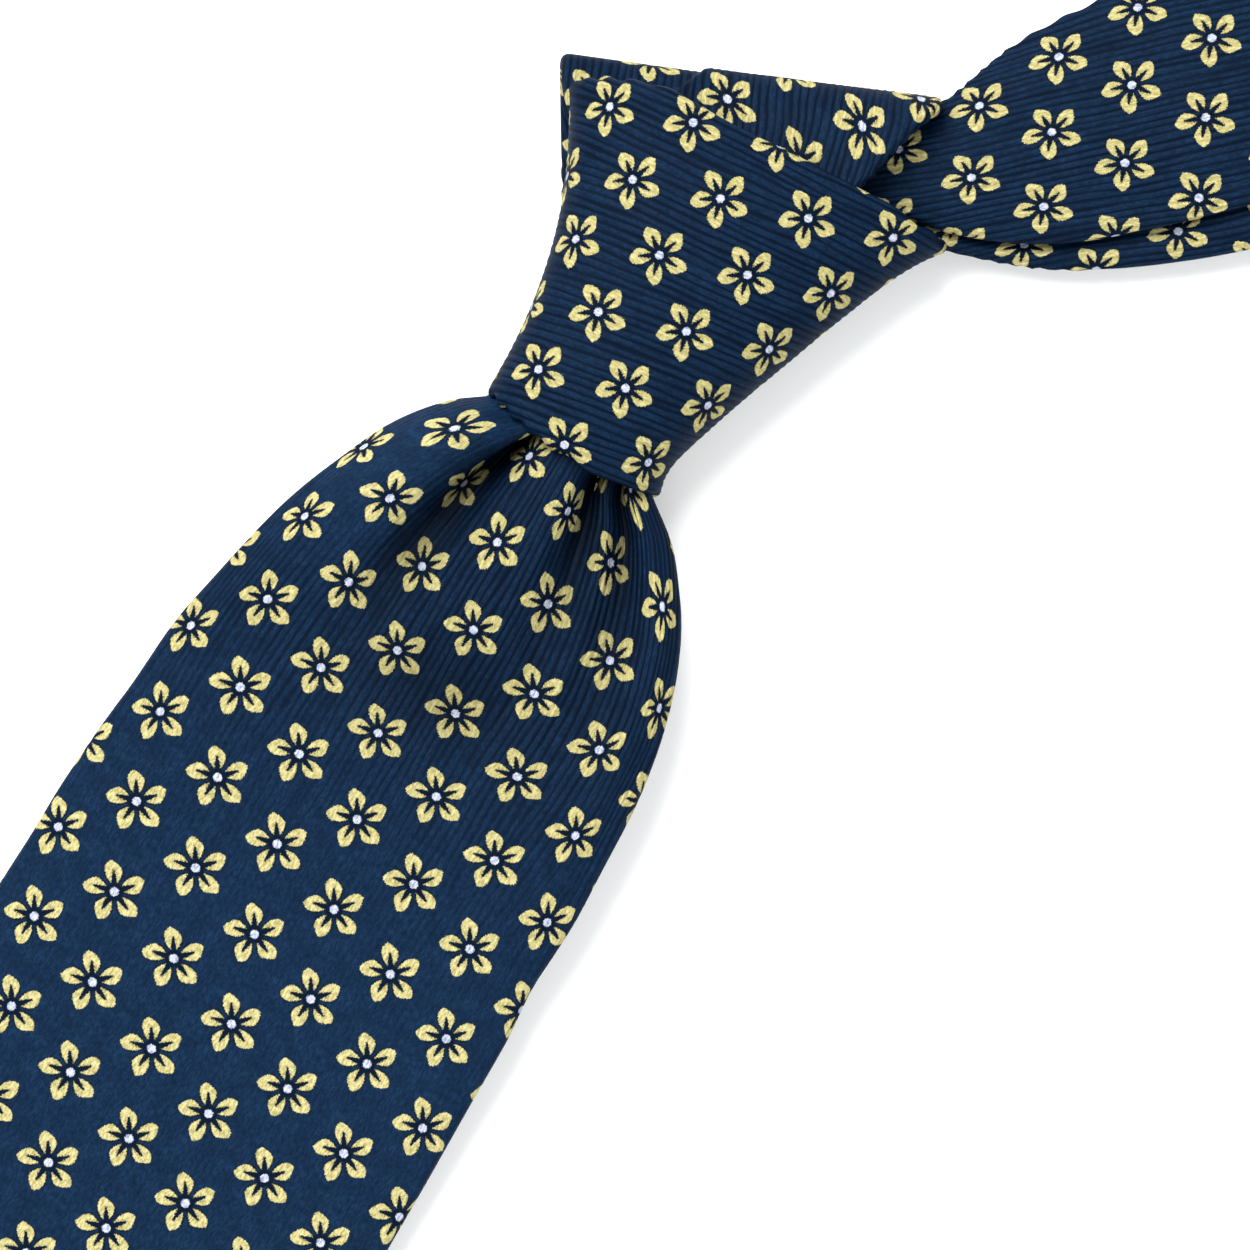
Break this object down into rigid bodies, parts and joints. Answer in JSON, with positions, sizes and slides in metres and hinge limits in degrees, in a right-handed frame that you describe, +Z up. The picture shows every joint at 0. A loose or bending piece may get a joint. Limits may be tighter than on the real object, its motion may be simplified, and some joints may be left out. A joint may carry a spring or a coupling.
{
  "type": "necktie",
  "caption": "Silk necktie tied in a four-in-hand knot and laid flat, with a wide lined front blade, a narrow tail behind it and a closed neck loop.",
  "frame": {"origin": "on the surface the tie rests on, under the middle of the knot", "axes": "+Z up out of the front of the tie, +Y from the tip of the front blade up through the knot, +X to the side the neck loop is swept to"},
  "size_m": [0.2122, 0.6405, 0.0224],
  "materials": {
    "woven_silk": "navy woven silk with gold flowers, soft satin sheen",
    "interlining": "brushed wool and cotton canvas, matt",
    "tipping": "plain navy satin lining",
    "thread": "navy sewing thread",
    "label": "plain woven satin label with no text"
  },
  "bodies": {
    "knot": {"knot_face_wrap_shell": "woven_silk", "knot_face_wrap_interlining": "interlining", "knot_cross_wrap_shell": "woven_silk", "knot_cross_wrap_interlining": "interlining", "knot_tuck_shell": "woven_silk", "knot_tuck_interlining": "interlining", "neck_band_root_shell": "woven_silk", "neck_band_root_interlining": "interlining", "neck_band_tail_side_shell": "woven_silk", "neck_piece_shell": "woven_silk", "neck_band_front_side_shell": "woven_silk", "neck_interlining": "interlining", "tail_neck_seam": "thread", "front_neck_seam": "thread"},
    "front_blade": {"front_blade_shell": "woven_silk", "front_blade_tipping": "tipping", "front_blade_interlining": "interlining", "front_blade_slip_stitch": "thread", "front_blade_bar_tack": "thread", "keeper_loop": "woven_silk", "keeper_stitch_left": "thread", "keeper_stitch_right": "thread", "blank_label": "label", "label_stitch_left": "thread", "label_stitch_right": "thread"},
    "tail_grip": {"tail_grip_shell": "woven_silk", "tail_grip_interlining": "interlining"},
    "tail_blade": {"tail_blade_shell": "woven_silk", "tail_blade_tipping": "tipping", "tail_blade_interlining": "interlining", "tail_blade_slip_stitch": "thread", "tail_blade_bar_tack": "thread"}
  },
  "joints": [
    {"name": "front_blade_lift", "type": "hinge", "parent": "knot", "child": "front_blade", "pos_m": [0, -0.031, 0.0156], "axis": [-1, 0, 0], "range_deg": [0, 75]},
    {"name": "tail_slide", "type": "slide", "parent": "knot", "child": "tail_grip", "axis": [0, -1, 0], "range_m": [0, 0.025]},
    {"name": "tail_swing", "type": "hinge", "parent": "tail_grip", "child": "tail_blade", "pos_m": [0.0002, -0.031, 0.008], "axis": [0, 0, 1], "range_deg": [-8, 8]}
  ]
}
